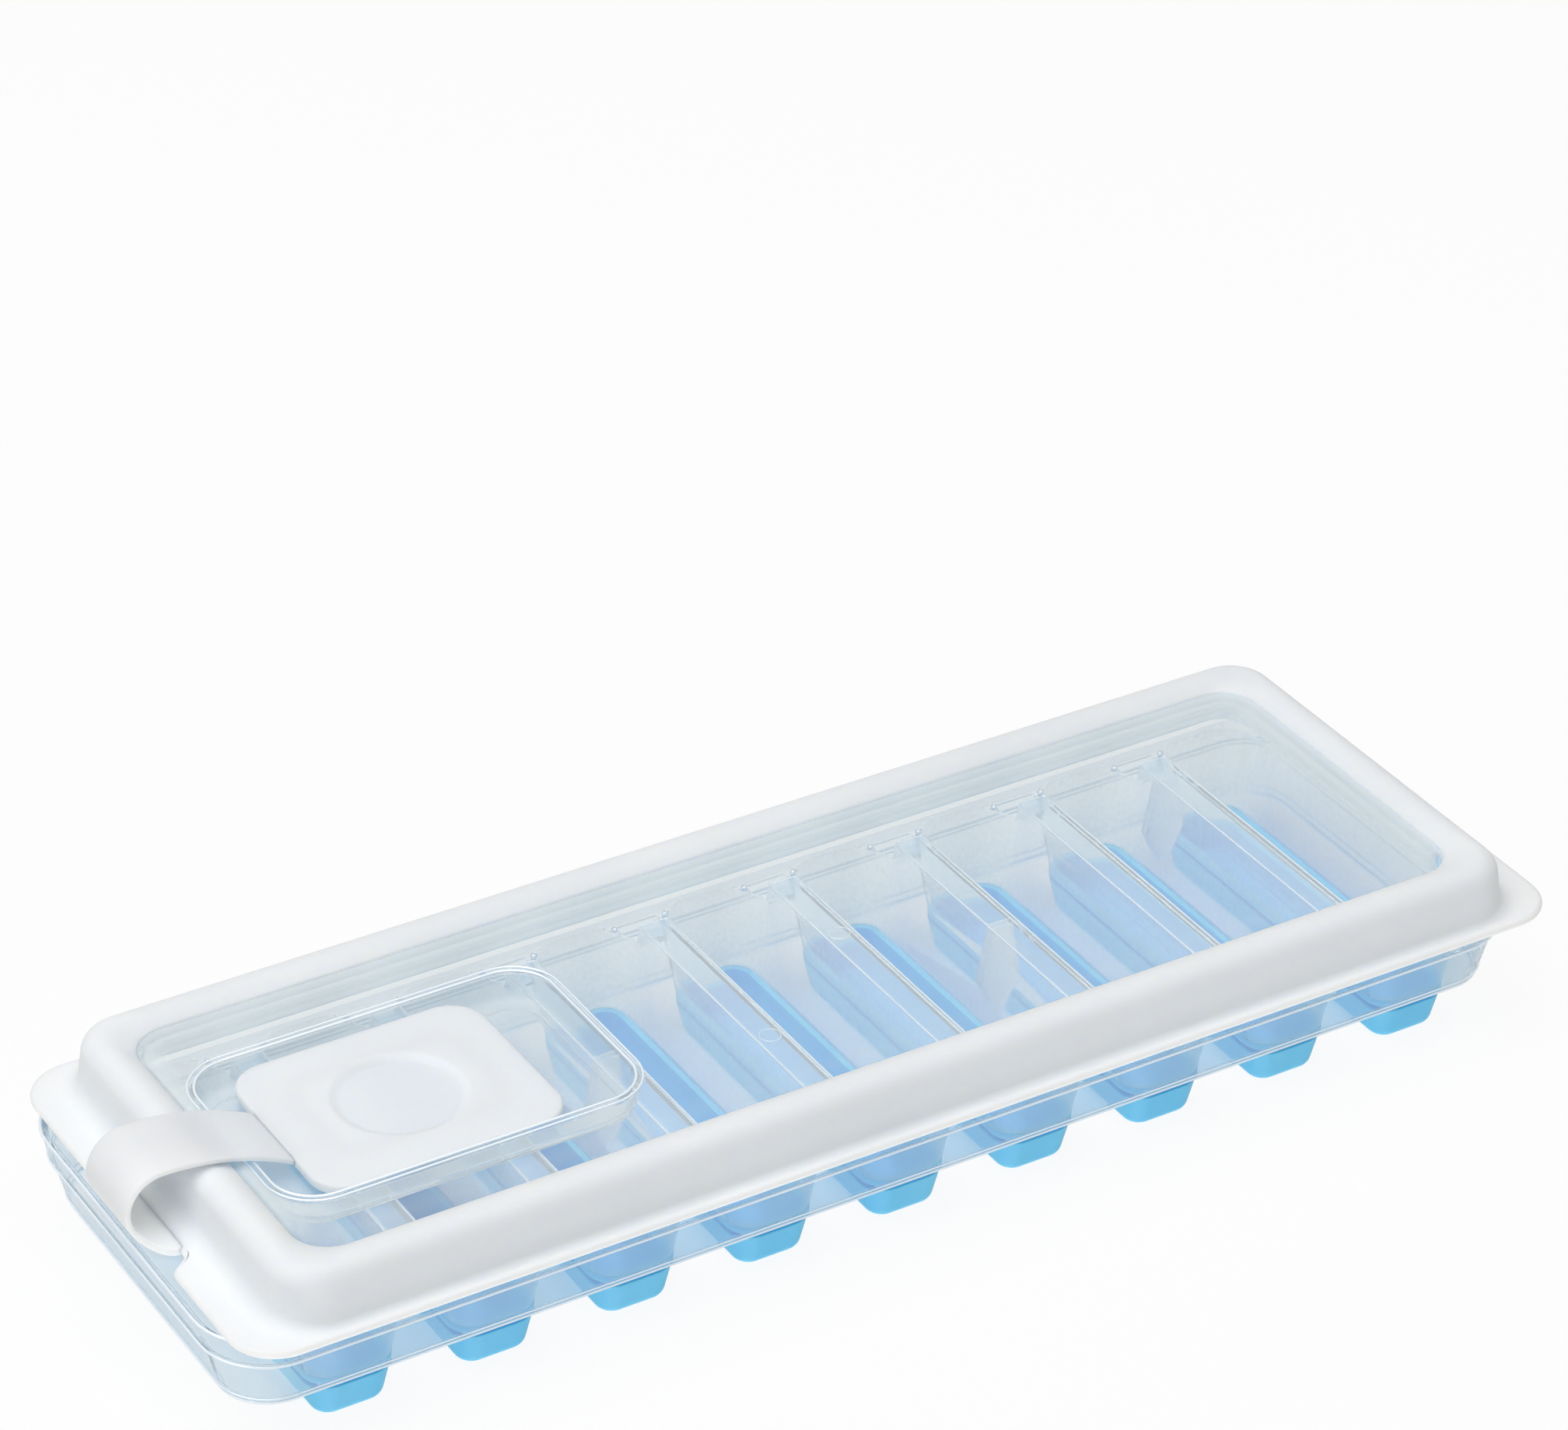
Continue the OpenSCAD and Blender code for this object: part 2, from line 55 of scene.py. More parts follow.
# Sizes in millimetres, each core being the half length and half width of a rounded rectangle without its corner radius.
PITCH = 29.7
RIDGES = (np.arange(8) - 3.5) * PITCH
RIDGE_TOP, RIDGE_HALF, RIDGE_REACH = 30.0, 3.1, 34.2
TUB_TOP_REACH, TUB_LEAN = 43.3, math.tan(math.radians(10.9))
SKIRT_HALF, SKIRT_CORNER, SKIRT_SHIFT = (144.4, 45.5), 14.5, -2.6
END_RIB_Y, RIB_FACE = 29.0, 0.8
RIB_PLACES = [(side * 1.5 * PITCH, 0.0) for side in (-1, 1)]
RIB_PLACES += [(side * 3.5 * PITCH, y) for side in (-1, 1) for y in (-END_RIB_Y, END_RIB_Y)]
WINDOW_Z, DECK_Z, FLANGE_TOP = 38.5, 27.5, 29.2
CREST_Z, CREST_R = WINDOW_Z + 2.2, 4.0
WINDOW_CORE, WINDOW_CORNER = (119.2, 30.85), 8.0
WALL_CORE, WALL_OUT, WALL_LEAN, FRAME_WALL = (126.0, 37.65), 5.5, math.radians(8.0), 1.6
FLANGE_CORE, FLANGE_CORNER = (135.0, 40.5), 10.0
FOOT_R, FOOT_GROWTH = 1.5, 2.3
SCOOP_EDGE, SCOOP_EASE, SCOOP_DEPTH, SCOOP_ZONE = 19.8, 5.6, 4.2, 30.0
POCKET_HALF, POCKET_CORNER, POCKET_X = (37.5, 23.8), 9.0, -85.5

FLOAT, COLOR = "NodeSocketFloat", "NodeSocketColor"
MIX_SHARE, MIX_LOW, MIX_HIGH, MIX_COLOR = 0, 6, 7, 2


def add(tree, kind, **settings):
    """One node of that kind, with attributes from keywords and unlinked inputs from a dict called inputs."""
    node = tree.nodes.new(kind)
    for key, value in settings.pop("inputs", {}).items():
        node.inputs[key].default_value = value
    for key, value in settings.items():
        setattr(node, key, value)
    return node


def new_group(name, inputs, outputs):
    """A shader node group with float or colour sockets, and its own input and output nodes."""
    tree = bpy.data.node_groups.new(name, "ShaderNodeTree")
    for label, kind, value in inputs:
        socket = tree.interface.new_socket(label, in_out="INPUT", socket_type=kind)
        socket.default_value = value
    for label, kind in outputs:
        tree.interface.new_socket(label, in_out="OUTPUT", socket_type=kind)
    return tree, tree.nodes.new("NodeGroupInput"), tree.nodes.new("NodeGroupOutput")


def use(tree, group, **values):
    """A group placed in a material with its own values, named with underscores for spaces."""
    node = tree.nodes.new("ShaderNodeGroup")
    node.node_tree = group
    for key, value in values.items():
        node.inputs[key.replace("_", " ")].default_value = value
    return node


def material(name):
    """An empty node material with its output and a Principled shader joined to it."""
    mat = bpy.data.materials.new(name)
    mat.use_nodes = True
    tree = mat.node_tree
    tree.nodes.clear()
    out = tree.nodes.new("ShaderNodeOutputMaterial")
    shader = tree.nodes.new("ShaderNodeBsdfPrincipled")
    tree.links.new(shader.outputs[0], out.inputs[0])
    return mat, tree, shader


def to_surface(tree, source):
    """A shader joined to the material's output, in place of the one that was there."""
    out = next(n for n in tree.nodes if n.type == "OUTPUT_MATERIAL")
    tree.links.new(source, out.inputs[0])


def maths(tree, operation, *sides):
    """The result of a Math node, with each side a socket or a plain number."""
    node = add(tree, "ShaderNodeMath", operation=operation)
    for socket, side in zip(node.inputs, sides):
        if isinstance(side, bpy.types.NodeSocket):
            tree.links.new(side, socket)
        else:
            socket.default_value = side
    return node.outputs[0]


def mixed(tree, share, first, second):
    """Two shaders mixed by a share."""
    node = add(tree, "ShaderNodeMixShader")
    for source, socket in zip((share, first, second), node.inputs):
        tree.links.new(source, socket)
    return node.outputs[0]


def split(tree, spot):
    """The parts X, Y and Z of a place or a direction."""
    node = add(tree, "ShaderNodeSeparateXYZ")
    tree.links.new(spot, node.inputs[0])
    return node.outputs


def reach(tree, part):
    """How far a part of a place lies from the middle, on either side."""
    return maths(tree, "ABSOLUTE", part)


def moulded_group():
    """Moulded surface: two noises give a slow tint drift and a fine grain, both as masks from 0 to 1."""
    tree, gi, go = new_group("moulded_surface",
                             [("Drift Scale", FLOAT, 30.0), ("Grain Scale", FLOAT, 2500.0)],
                             [("Drift", FLOAT), ("Grain", FLOAT)])
    coord = add(tree, "ShaderNodeTexCoord")
    drift = add(tree, "ShaderNodeTexNoise", inputs={"Detail": 3.0, "Roughness": 0.55})
    grain = add(tree, "ShaderNodeTexNoise", inputs={"Detail": 2.0, "Roughness": 0.6})
    for noise, scale, label in ((drift, "Drift Scale", "Drift"), (grain, "Grain Scale", "Grain")):
        tree.links.new(coord.outputs["Object"], noise.inputs["Vector"])
        tree.links.new(gi.outputs[scale], noise.inputs["Scale"])
        tree.links.new(noise.outputs["Fac"], go.inputs[label])
    return tree


def tone_group():
    """Two close tones of one colour, mixed by a mask whose contrast can be set."""
    tree, gi, go = new_group("two_tone",
                             [("Mask", FLOAT, 0.5), ("Low", COLOR, (1, 1, 1, 1)), ("High", COLOR, (1, 1, 1, 1)),
                              ("From", FLOAT, 0.35), ("To", FLOAT, 0.65)],
                             [("Color", COLOR)])
    stretch = add(tree, "ShaderNodeMapRange", interpolation_type="SMOOTHSTEP")
    tree.links.new(gi.outputs["Mask"], stretch.inputs["Value"])
    tree.links.new(gi.outputs["From"], stretch.inputs["From Min"])
    tree.links.new(gi.outputs["To"], stretch.inputs["From Max"])
    mix = add(tree, "ShaderNodeMix", data_type="RGBA")
    tree.links.new(stretch.outputs["Result"], mix.inputs[MIX_SHARE])
    tree.links.new(gi.outputs["Low"], mix.inputs[MIX_LOW])
    tree.links.new(gi.outputs["High"], mix.inputs[MIX_HIGH])
    tree.links.new(mix.outputs[MIX_COLOR], go.inputs["Color"])
    return tree


MOULDED = moulded_group()
TWO_TONE = tone_group()


def spread(tree, source, low, high, start=0.3, end=0.7):
    """A mask stretched from start..end to low..high, for a roughness or an alpha."""
    node = add(tree, "ShaderNodeMapRange", inputs={"From Min": start, "From Max": end, "To Min": low, "To Max": high})
    tree.links.new(source, node.inputs["Value"])
    return node.outputs["Result"]


def rounded_bump(tree, shader, height, strength, distance, radius):
    """Fine bump over edges that the Bevel node rounds by radius."""
    bump = add(tree, "ShaderNodeBump", inputs={"Strength": strength, "Distance": distance})
    tree.links.new(height, bump.inputs["Height"])
    if radius:
        bevel = add(tree, "ShaderNodeBevel", samples=4, inputs={"Radius": radius})
        tree.links.new(bevel.outputs["Normal"], bump.inputs["Normal"])
    tree.links.new(bump.outputs["Normal"], shader.inputs["Normal"])


def white_plastic():
    """Soft white plastic: cool white with a faint drift, matte, with a fine spark grain."""
    mat, tree, shader = material("white_soft_plastic")
    base = use(tree, MOULDED, Drift_Scale=18.0, Grain_Scale=2600.0)
    tone = use(tree, TWO_TONE, Low=(0.835, 0.862, 0.892, 1), High=(0.868, 0.890, 0.915, 1))
    tree.links.new(base.outputs["Drift"], tone.inputs["Mask"])
    tree.links.new(tone.outputs["Color"], shader.inputs["Base Color"])
    tree.links.new(spread(tree, base.outputs["Grain"], 0.5, 0.62), shader.inputs["Roughness"])
    shader.inputs["Specular IOR Level"].default_value = 0.35
    shader.inputs["Subsurface Weight"].default_value = 1.0
    shader.inputs["Subsurface Radius"].default_value = (1.0, 0.92, 0.72)
    shader.inputs["Subsurface Scale"].default_value = 0.003
    rounded_bump(tree, shader, base.outputs["Grain"], 0.12, 0.00005, 0)
    return mat


def blue_rubber():
    """Soft blue elastomer: sky blue with a slow drift, satin, with a fine grain."""
    mat, tree, shader = material("blue_elastomer")
    base = use(tree, MOULDED, Drift_Scale=60.0, Grain_Scale=2200.0)
    tone = use(tree, TWO_TONE, Low=(0.160, 0.590, 0.925, 1), High=(0.180, 0.620, 0.950, 1))
    tree.links.new(base.outputs["Drift"], tone.inputs["Mask"])
    tree.links.new(tone.outputs["Color"], shader.inputs["Base Color"])
    tree.links.new(spread(tree, base.outputs["Grain"], 0.42, 0.56), shader.inputs["Roughness"])
    shader.inputs["Specular IOR Level"].default_value = 0.18
    shader.inputs["Subsurface Weight"].default_value = 1.0
    shader.inputs["Subsurface Radius"].default_value = (0.8, 0.9, 1.0)
    shader.inputs["Subsurface Scale"].default_value = 0.001
    rounded_bump(tree, shader, base.outputs["Grain"], 0.10, 0.00005, 0.0005)
    return mat


PALE_BLUE = ((0.64, 0.82, 0.97, 1), (0.70, 0.86, 0.98, 1))
PALE_GREY = ((0.76, 0.84, 0.865, 1), (0.81, 0.88, 0.90, 1))
# Painted blue of the troughs' light, laid on the tubs' outer faces.
PAINTED_TROUGH_BLUE = ((0.34, 0.68, 0.96, 1), (0.42, 0.74, 0.98, 1))
# The cavities' frost: low is a painted blue of the troughs' light, high is the frost's own pale white.
CAVITY_FROST_AND_PAINTED_BLUE = ((0.27, 0.50, 0.84, 1), (0.96, 0.980, 0.975, 1))
PALE_WHITE = ((0.84, 0.90, 0.96, 1), (0.88, 0.93, 0.98, 1))
TILT_START, DRIFT_SHARE = 0.45, 0.12

# Where the masks over the tray and the window grow, from and to, in metres.
TINT_RISE, ROW_ENDS = (0.010, 0.024), (0.118, 0.138)
FROST_ENDS, FROST_FOOT = (0.024, 0.040), (0.011, 0.020)
BLUE_FADE_ENDS, BLUE_FADE_RISE = (0.020, 0.040), (0.010, 0.030)
BORDER_GROWTH, BORDER_BACK = (0.0005, 0.0080), (-0.036, -0.028)


def clear_plastic(name, clarity, rough, tints, ior, veil, edge, shade, pale=PALE_BLUE, rim=0.0, blush=0.0, frost=0.0,
                  gleam=0.0, lengthwise=False):
    """Clear moulded plastic: it lets light through, tinted more low down than high up, or lengthwise more in the middle
    of the row than at its ends, which on the skirt is a painted blue of the troughs' light. A milky veil over it grows
    from veil to edge where the surface turns away, and to rim toward the window's border. From outside it carries a
    painted blue, standing in for the light of the blue troughs that lie within, and frost veils its near side, painted
    blue low down near the troughs. gleam makes the veil shine. Lamp rays and scattered rays go straight through, so
    that what lies inside is lit."""
    mat, tree, shader = material(name)
    base = use(tree, MOULDED, Drift_Scale=22.0, Grain_Scale=900.0)
    drift, grain = base.outputs["Drift"], base.outputs["Grain"]
    spot = add(tree, "ShaderNodeTexCoord").outputs["Object"]
    place = split(tree, spot)
    tone = use(tree, TWO_TONE, Low=tints[0], High=tints[1], From=0.0, To=1.0)
    mask = outside_ends(tree, place["X"]) if lengthwise else rising_tint(tree, place["Z"], drift)
    tree.links.new(mask, tone.inputs["Mask"])
    tree.links.new(tone.outputs["Color"], shader.inputs["Base Color"])
    tree.links.new(spread(tree, drift, rough * 0.7, rough * 1.3), shader.inputs["Roughness"])
    shader.inputs["Transmission Weight"].default_value = clarity
    shader.inputs["IOR"].default_value = ior
    rounded_bump(tree, shader, drift, 0.05, 0.0003, 0)
    haze = add(tree, "ShaderNodeBsdfPrincipled", inputs={"Roughness": 0.35, "Metallic": gleam})
    milk = use(tree, TWO_TONE, Low=pale[0], High=pale[1])
    # With frost, the veil's colour runs from a painted blue of the troughs' light low down to the frost's pale white.
    if frost:
        milk.inputs["From"].default_value, milk.inputs["To"].default_value = 0.0, 1.0
    tree.links.new(painted_blue_fade(tree, place) if frost else drift, milk.inputs["Mask"])
    tree.links.new(milk.outputs["Color"], haze.inputs["Base Color"])
    tilt = add(tree, "ShaderNodeLayerWeight", inputs={"Blend": 0.5})
    share = add(tree, "ShaderNodeMapRange", interpolation_type="SMOOTHSTEP",
                inputs={"From Min": TILT_START, "From Max": 1.0, "To Min": veil, "To Max": edge})
    tree.links.new(tilt.outputs["Facing"], share.inputs["Value"])
    amount = share.outputs["Result"]
    if rim:
        amount = maths(tree, "MAXIMUM", amount, border_mask(tree, spot, rim))
    if frost:
        amount = maths(tree, "MAXIMUM", amount, frosted(tree, grain, place, frost))
    veiled = mixed(tree, amount, shader.outputs[0], haze.outputs[0])
    if blush:
        veiled = blushed(tree, veiled, drift, blush)
    path = add(tree, "ShaderNodeLightPath")
    light = maths(tree, "MAXIMUM", path.outputs["Is Shadow Ray"], path.outputs["Is Diffuse Ray"])
    through = add(tree, "ShaderNodeBsdfTransparent", inputs={"Color": shade})
    to_surface(tree, mixed(tree, light, veiled, through.outputs[0]))
    return mat


def rising_tint(tree, height, drift):
    """A mask that grows with height up the tray, with a little drift."""
    rise = spread(tree, height, 0.0, 1.0 - DRIFT_SHARE, *TINT_RISE)
    return maths(tree, "MULTIPLY_ADD", drift, DRIFT_SHARE, rise)


def outside_ends(tree, row):
    """A mask that grows toward the ends of the row on near sides, and is full on far sides: where it is low, the skirt
    carries its painted blue of the troughs' light.
    """
    side = add(tree, "ShaderNodeNewGeometry")
    ends = spread(tree, reach(tree, row), 0.0, 1.0, *ROW_ENDS)
    return maths(tree, "MAXIMUM", ends, side.outputs["Backfacing"])


def near_share(tree, most):
    """A share that is most on near sides and nothing on far sides."""
    side = add(tree, "ShaderNodeNewGeometry")
    return spread(tree, side.outputs["Backfacing"], most, 0.0, 0.0, 1.0)


def frosted(tree, grain, place, most):
    """A veil's share on near sides: most, a little less where the grain dips, and more toward the cavities' ends and
    their foot."""
    fine = maths(tree, "MULTIPLY", near_share(tree, most), spread(tree, grain, 0.8, 1.0))
    ends = maths(tree, "MULTIPLY", fine, spread(tree, reach(tree, place["Y"]), 1.0, 1.35, *FROST_ENDS))
    return maths(tree, "MULTIPLY", ends, spread(tree, place["Z"], 1.7, 1.0, *FROST_FOOT))


def painted_blue_fade(tree, place):
    """A mask that grows up the cavity walls and toward the cavities' ends, from the painted blue of the troughs' light
    to the frost's own white.
    """
    rise = spread(tree, place["Z"], 0.0, 0.75, *BLUE_FADE_RISE)
    ends = spread(tree, reach(tree, place["Y"]), 0.0, 1.0, *BLUE_FADE_ENDS)
    return maths(tree, "MAXIMUM", rise, ends)


def blushed(tree, under, drift, most):
    """The shader under a share of painted blue, standing in for the troughs' blue light, on outer sides alone."""
    blue = add(tree, "ShaderNodeBsdfPrincipled", inputs={"Roughness": 0.3})
    tone = use(tree, TWO_TONE, Low=PAINTED_TROUGH_BLUE[0], High=PAINTED_TROUGH_BLUE[1])
    tree.links.new(drift, tone.inputs["Mask"])
    tree.links.new(tone.outputs["Color"], blue.inputs["Base Color"])
    return mixed(tree, near_share(tree, most), under, blue.outputs[0])


def border_mask(tree, spot, most):
    """A mask that grows to most over the last millimetres before the window's rounded border, except at the front. The
    core's height is far above the part, so that height plays no role."""
    core = (WINDOW_CORE[0] * MM, WINDOW_CORE[1] * MM, 1.0)
    size = add(tree, "ShaderNodeVectorMath", operation="ABSOLUTE")
    tree.links.new(spot, size.inputs[0])
    past = add(tree, "ShaderNodeVectorMath", operation="SUBTRACT", inputs={1: core})
    tree.links.new(size.outputs[0], past.inputs[0])
    only = add(tree, "ShaderNodeVectorMath", operation="MAXIMUM", inputs={1: (0, 0, 0)})
    tree.links.new(past.outputs[0], only.inputs[0])
    far = add(tree, "ShaderNodeVectorMath", operation="LENGTH")
    tree.links.new(only.outputs[0], far.inputs[0])
    mask = add(tree, "ShaderNodeMapRange", interpolation_type="SMOOTHSTEP",
               inputs={"From Min": BORDER_GROWTH[0], "From Max": BORDER_GROWTH[1], "To Min": 0.0, "To Max": most})
    tree.links.new(far.outputs["Value"], mask.inputs["Value"])
    back = spread(tree, split(tree, spot)["Y"], 0.0, 1.0, *BORDER_BACK)
    return maths(tree, "MULTIPLY", mask.outputs["Result"], back)


WHITE = white_plastic()
BLUE = blue_rubber()
TRAY_TINTS = ((0.890, 0.945, 0.980, 1), (0.972, 0.990, 0.996, 1))
# The skirt's tint: low is a painted blue of the troughs' light, on its near side in the middle of the row; high is near
# clear.
SKIRT_PAINTED_BLUE = ((0.46, 0.70, 0.90, 1), (0.96, 0.98, 0.99, 1))
LID_TINTS = ((0.972, 0.985, 0.978, 1), (0.980, 0.990, 0.984, 1))
TRAY_SHADE, LID_SHADE = (0.982, 0.992, 0.996, 1), (0.985, 0.992, 0.993, 1)
TRAY_CLARITY, TRAY_ROUGH = 0.96, 0.03
LID_CLARITY, LID_ROUGH, LID_IOR = 0.86, 0.04, 1.10


def tray_plastic(name, ior, veil, edge, tints=TRAY_TINTS, **more):
    """Clear plastic with the tray's own clarity, gloss and shade."""
    return clear_plastic(name, TRAY_CLARITY, TRAY_ROUGH, tints, ior, veil, edge, TRAY_SHADE, **more)


def lid_plastic(name, veil, edge, **more):
    """Clear plastic with the window's own clarity, gloss, tint and shade."""
    return clear_plastic(name, LID_CLARITY, LID_ROUGH, LID_TINTS, LID_IOR, veil, edge, LID_SHADE, pale=PALE_GREY,
                         **more)


TRAY_CLEAR = tray_plastic("tray_clear", 1.13, 0.0, 0.6)
TRAY_MILKY = tray_plastic("tray_milky", 1.08, 0.28, 0.6)
SKIRT_CLEAR = tray_plastic("skirt_clear", 1.10, 0.16, 0.25)
# The skirt's long sides outside carry the painted blue in the middle of the row.
SKIRT_OUT = tray_plastic("skirt_outside", 1.10, 0.16, 0.25, tints=SKIRT_PAINTED_BLUE, lengthwise=True)
# The tubs' outer end walls carry a painted blue of the troughs within.
TUB_OUT = tray_plastic("tub_outside", 1.13, 0.0, 0.5, blush=0.42)
CAVITY = tray_plastic("cavity_inside", 1.08, 0.0, 0.12, pale=CAVITY_FROST_AND_PAINTED_BLUE, frost=0.36)
HOLLOW = tray_plastic("ridge_hollow", 1.08, 0.0, 0.10)
RIB = tray_plastic("rib_milky", 1.08, 0.80, 0.92, pale=PALE_WHITE)
LID_CLEAR = lid_plastic("lid_clear", 0.0, 0.5, rim=0.45)
POCKET_CLEAR = lid_plastic("pocket_clear", 0.10, 0.45)
# Painted highlight: a pale milky material with a metal shine, for the tubes and blobs that stand in for bright edges
# and glints.
PAINTED_HIGHLIGHT = clear_plastic("painted_edge_highlight", TRAY_CLARITY, 0.05, LID_TINTS, 1.05, 0.85, 0.95, TRAY_SHADE, pale=PALE_WHITE,
                            gleam=0.7)
TRAY_MATS = (TRAY_CLEAR, TRAY_MILKY, SKIRT_CLEAR, TUB_OUT, CAVITY, RIB, HOLLOW, SKIRT_OUT)

SHARP_EDGE, SMOOTH_EDGE = math.radians(28.0), math.radians(36.0)
SHORT_EDGE, MERGE_STEP = 0.4 * MM, 2e-6


def rounded_copy(name, node, body, mats, choose, width):
    """A node's own shape with its sharp edges rounded over by width: its mesh is copied and merged, and each sharp edge
    that isn't short is cut back in three steps. choose gives each face one of the materials, by its middle in
    millimetres and its direction."""
    made = bmesh.new()
    made.from_mesh(nodes[node].data)
    bmesh.ops.remove_doubles(made, verts=made.verts, dist=MERGE_STEP)
    edges = [e for e in made.edges if e.calc_face_angle(0.0) > SHARP_EDGE and e.calc_length() > SHORT_EDGE]
    bmesh.ops.bevel(made, geom=edges, offset=width * MM, offset_type="OFFSET", segments=3, profile=0.5,
                    affect="EDGES", clamp_overlap=False)
    bmesh.ops.remove_doubles(made, verts=made.verts, dist=MERGE_STEP)
    mesh = bpy.data.meshes.new(name)
    made.to_mesh(mesh)
    made.free()
    mesh.polygons.foreach_set("use_smooth", np.ones(len(mesh.polygons), bool))
    mesh.set_sharp_from_angle(angle=SMOOTH_EDGE)
    obj = bpy.data.objects.new(name, mesh)
    scene.collection.objects.link(obj)
    mod = obj.modifiers.new("even_normals", "WEIGHTED_NORMAL")
    mod.keep_sharp = True
    for mat in mats:
        mesh.materials.append(mat)
    count = len(mesh.polygons)
    spot, way = np.empty(count * 3, np.float32), np.empty(count * 3, np.float32)
    mesh.polygons.foreach_get("center", spot)
    mesh.polygons.foreach_get("normal", way)
    pick = choose(spot.reshape(-1, 3).T / MM, way.reshape(-1, 3).T)
    mesh.polygons.foreach_set("material_index", pick.astype(np.int32))
    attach(obj, body)
    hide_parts(node)


def dress(obj, mat):
    """A carried-over node takes one material."""
    obj.data.materials.clear()
    obj.data.materials.append(mat)


def between(values, limits):
    """Which values lie between two limits."""
    return (values > limits[0]) & (values < limits[1])


# Where the tray's parts lie, in millimetres, and how far their faces lean.
STEEP, OUTWARD, FLANK = 0.8, 0.25, 0.7
RIDGE_END, RIDGE_END_FOOT, RIDGE_ROUND = (33.0, 35.0), 26.0, 0.4
RIB_ZONE, RIB_SPAN = (7.0, 0.95), (8.5, 29.4)
SKIRT_END, SKIRT_TOP = 136.0, 27.0
TUB_END, TUB_SPAN, ROW_HALF = 35.5, (10.6, 26.2), 134.0
CAVITY_SPAN, CAVITY_LEAN = (10.6, 29.7), (0.02, 0.6)
HOLLOW_REACH, HOLLOW_SPAN, HOLLOW_LEAN = 42.0, (8.0, 29.6), -0.02


def tray_faces(spot, way):
    """The tray's material for each face: milky ridge tops and ridge ends, the skirt with its long sides outside, the
    cavities' end walls outside and all their walls inside, the ribs, the ridges' hollows, and plain clear elsewhere."""
    x, y, z = spot
    across, lean = np.abs(y), way[2]
    outside = way[1] * np.sign(y) > OUTWARD
    in_row = np.abs(x) < ROW_HALF
    ridge = np.abs(x[:, None] - RIDGES).min(1) < RIDGE_HALF + RIDGE_ROUND
    milky = ridge & (z > RIDGE_TOP - 0.5) & (np.abs(lean) > STEEP)
    milky |= ridge & (np.abs(way[1]) > STEEP) & between(across, RIDGE_END) & (z > RIDGE_END_FOOT)
    rib = np.zeros(len(x), bool)
    for rib_x, rib_y in RIB_PLACES:
        rib |= (np.abs(x - rib_x) < RIB_ZONE[0]) & (np.abs(y - rib_y) < RIB_ZONE[1]) & between(z, RIB_SPAN)
    tub_reach = TUB_TOP_REACH - TUB_LEAN * (RIDGE_TOP - z)
    skirt = ((across > tub_reach) | (np.abs(x - SKIRT_SHIFT) > SKIRT_END)) & (z < SKIRT_TOP)
    tub = (across > TUB_END) & (across < tub_reach) & between(z, TUB_SPAN)
    inner = (across < tub_reach) & in_row & between(z, CAVITY_SPAN) & between(lean, CAVITY_LEAN)
    hollow = (across < HOLLOW_REACH) & in_row & between(z, HOLLOW_SPAN)
    hollow &= (np.abs(way[0]) > FLANK) & (lean < HOLLOW_LEAN)
    zones = [skirt & outside, skirt, rib, milky, tub & outside, inner, hollow]
    mats = (SKIRT_OUT, SKIRT_CLEAR, RIB, TRAY_MILKY, TUB_OUT, CAVITY, HOLLOW)
    return np.select(zones, [TRAY_MATS.index(mat) for mat in mats], TRAY_MATS.index(TRAY_CLEAR))


def window_faces(spot, way):
    """Walls and floor of the pocket are 1 and the rest of the window is 0."""
    x, y, z = spot
    rim, below = 1.5, 0.2
    pocket = (np.abs(x - POCKET_X) < POCKET_HALF[0] + rim) & (np.abs(y) < POCKET_HALF[1] + rim) & (z < WINDOW_Z - below)
    return np.where(pocket, 1, 0)


rounded_copy("tray_shell", "tray", "tray", TRAY_MATS, tray_faces, 0.15)
rounded_copy("window_shell", "lid_window", "lid", (LID_CLEAR, POCKET_CLEAR), window_faces, 0.3)
for name, obj in nodes.items():
    if name == "tray":
        dress(obj, TRAY_CLEAR)
    elif name == "lid_window":
        dress(obj, LID_CLEAR)
    elif name.startswith("trough"):
        dress(obj, BLUE)
    else:
        dress(obj, WHITE)


def ring(core_x, core_y, long_steps=56, end_steps=120, corner_steps=14):
    """Core points and outward directions round a rounded rectangle: offset by a radius they give any outline of it.
    Both run anticlockwise from the lower right corner, with matching steps for every core."""
    turn = np.linspace(0.0, math.pi / 2, corner_steps + 1)
    corners = ((core_x, -core_y, -math.pi / 2), (core_x, core_y, 0.0),
               (-core_x, core_y, math.pi / 2), (-core_x, -core_y, math.pi))
    steps = (end_steps, long_steps, end_steps, long_steps)
    core, out = [], []
    for k in range(4):
        x, y, start = corners[k]
        nx, ny, _ = corners[(k + 1) % 4]
        angle = start + turn
        core.append(np.tile((x, y), (len(turn), 1)))
        out.append(np.stack([np.cos(angle), np.sin(angle)], 1))
        t = np.linspace(0.0, 1.0, steps[k] + 1)[1:-1, None]
        core.append((1 - t) * np.array((x, y)) + t * np.array((nx, ny)))
        out.append(np.tile(out[-1][-1], (len(t), 1)))
    return np.concatenate(core), np.concatenate(out)


def level(outline, z):
    """An outline lifted to a height, which may differ from point to point."""
    return np.column_stack([outline, np.broadcast_to(z, len(outline))])


def grid_faces(rows, cols, close_rows):
    """Quads of a grid whose columns close on themselves, and whose rows do where asked."""
    r = np.arange(rows if close_rows else rows - 1)[:, None]
    c = np.arange(cols)[None, :]
    r2, c2 = (r + 1) % rows, (c + 1) % cols
    return np.stack([r * cols + c, r * cols + c2, r2 * cols + c2, r2 * cols + c], -1).reshape(-1, 4)


